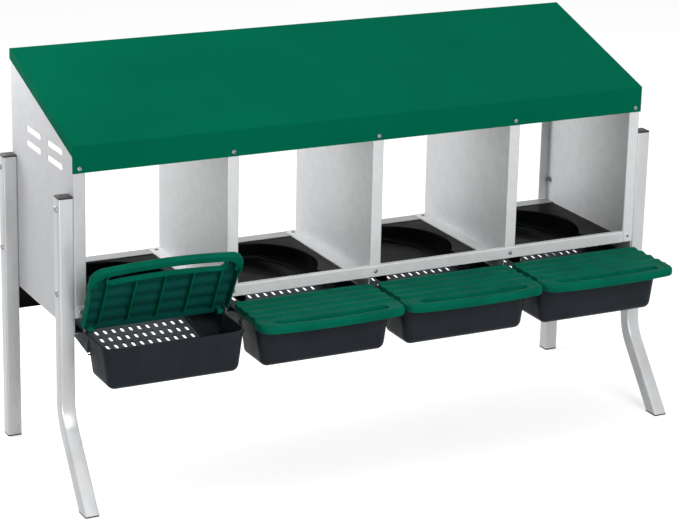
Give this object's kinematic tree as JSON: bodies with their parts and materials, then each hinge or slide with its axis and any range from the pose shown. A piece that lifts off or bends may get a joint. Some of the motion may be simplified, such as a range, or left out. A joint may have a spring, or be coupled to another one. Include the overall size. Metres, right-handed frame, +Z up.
{
  "type": "roll out nest box",
  "caption": "Freestanding metal nest box on bent tube legs, with sloping roof, open compartments, moulded pans, perforated roll-out ramps and hinged lids.",
  "frame": {"origin": "on the floor, under the middle of the part's bounding box", "axes": "+X to the viewer's right along the row of compartments, -Y towards the viewer out of the open front, +Z up"},
  "size_m": [1.263, 0.5052, 0.7691],
  "materials": {
    "galvanised_steel": "hot dip galvanised, satin",
    "roof_paint": "powder coated, semi gloss",
    "lid_plastic": "moulded, glossy with a soft wave",
    "tray_plastic": "moulded, fine satin",
    "ramp_plastic": "moulded, satin",
    "pan_plastic": "moulded, satin",
    "cap_plastic": "moulded, matt",
    "fastener_steel": "zinc plated"
  },
  "bodies": {
    "stand": {"roof": "roof_paint", "side_panel_left": "galvanised_steel", "side_panel_right": "galvanised_steel", "divider_1": "galvanised_steel", "divider_2": "galvanised_steel", "divider_3": "galvanised_steel", "floor_runner_1": "galvanised_steel", "floor_runner_2": "galvanised_steel", "floor_runner_3": "galvanised_steel", "front_rail": "galvanised_steel", "rear_rail": "galvanised_steel", "nest_pan_1": "pan_plastic", "nest_pan_2": "pan_plastic", "nest_pan_3": "pan_plastic", "nest_pan_4": "pan_plastic", "collecting_tray_1": "tray_plastic", "collecting_tray_2": "tray_plastic", "collecting_tray_3": "tray_plastic", "collecting_tray_4": "tray_plastic", "tray_ramp_1": "ramp_plastic", "tray_ramp_2": "ramp_plastic", "tray_ramp_3": "ramp_plastic", "tray_ramp_4": "ramp_plastic", "hinge_pins": "fastener_steel", "leg_front_left": "galvanised_steel", "leg_front_right": "galvanised_steel", "leg_rear_left": "galvanised_steel", "leg_rear_right": "galvanised_steel", "leg_caps": "cap_plastic", "foot_caps": "cap_plastic", "roof_screws": "fastener_steel", "rail_screws": "fastener_steel", "runner_screws": "fastener_steel", "leg_bolts": "fastener_steel", "leg_nuts": "fastener_steel"},
    "lid_1": {"tray_lid_1": "lid_plastic"},
    "lid_2": {"tray_lid_2": "lid_plastic"},
    "lid_3": {"tray_lid_3": "lid_plastic"},
    "lid_4": {"tray_lid_4": "lid_plastic"}
  },
  "joints": [
    {"name": "lid_1_hinge", "type": "hinge", "parent": "stand", "child": "lid_1", "pos_m": [-0.45, -0.0966, 0.3205], "axis": [-1, 0, 0], "range_deg": [-62, 23]},
    {"name": "lid_2_hinge", "type": "hinge", "parent": "stand", "child": "lid_2", "pos_m": [-0.15, -0.0966, 0.3205], "axis": [-1, 0, 0], "range_deg": [0, 85]},
    {"name": "lid_3_hinge", "type": "hinge", "parent": "stand", "child": "lid_3", "pos_m": [0.15, -0.0966, 0.3205], "axis": [-1, 0, 0], "range_deg": [0, 85]},
    {"name": "lid_4_hinge", "type": "hinge", "parent": "stand", "child": "lid_4", "pos_m": [0.45, -0.0966, 0.3205], "axis": [-1, 0, 0], "range_deg": [0, 85]}
  ]
}
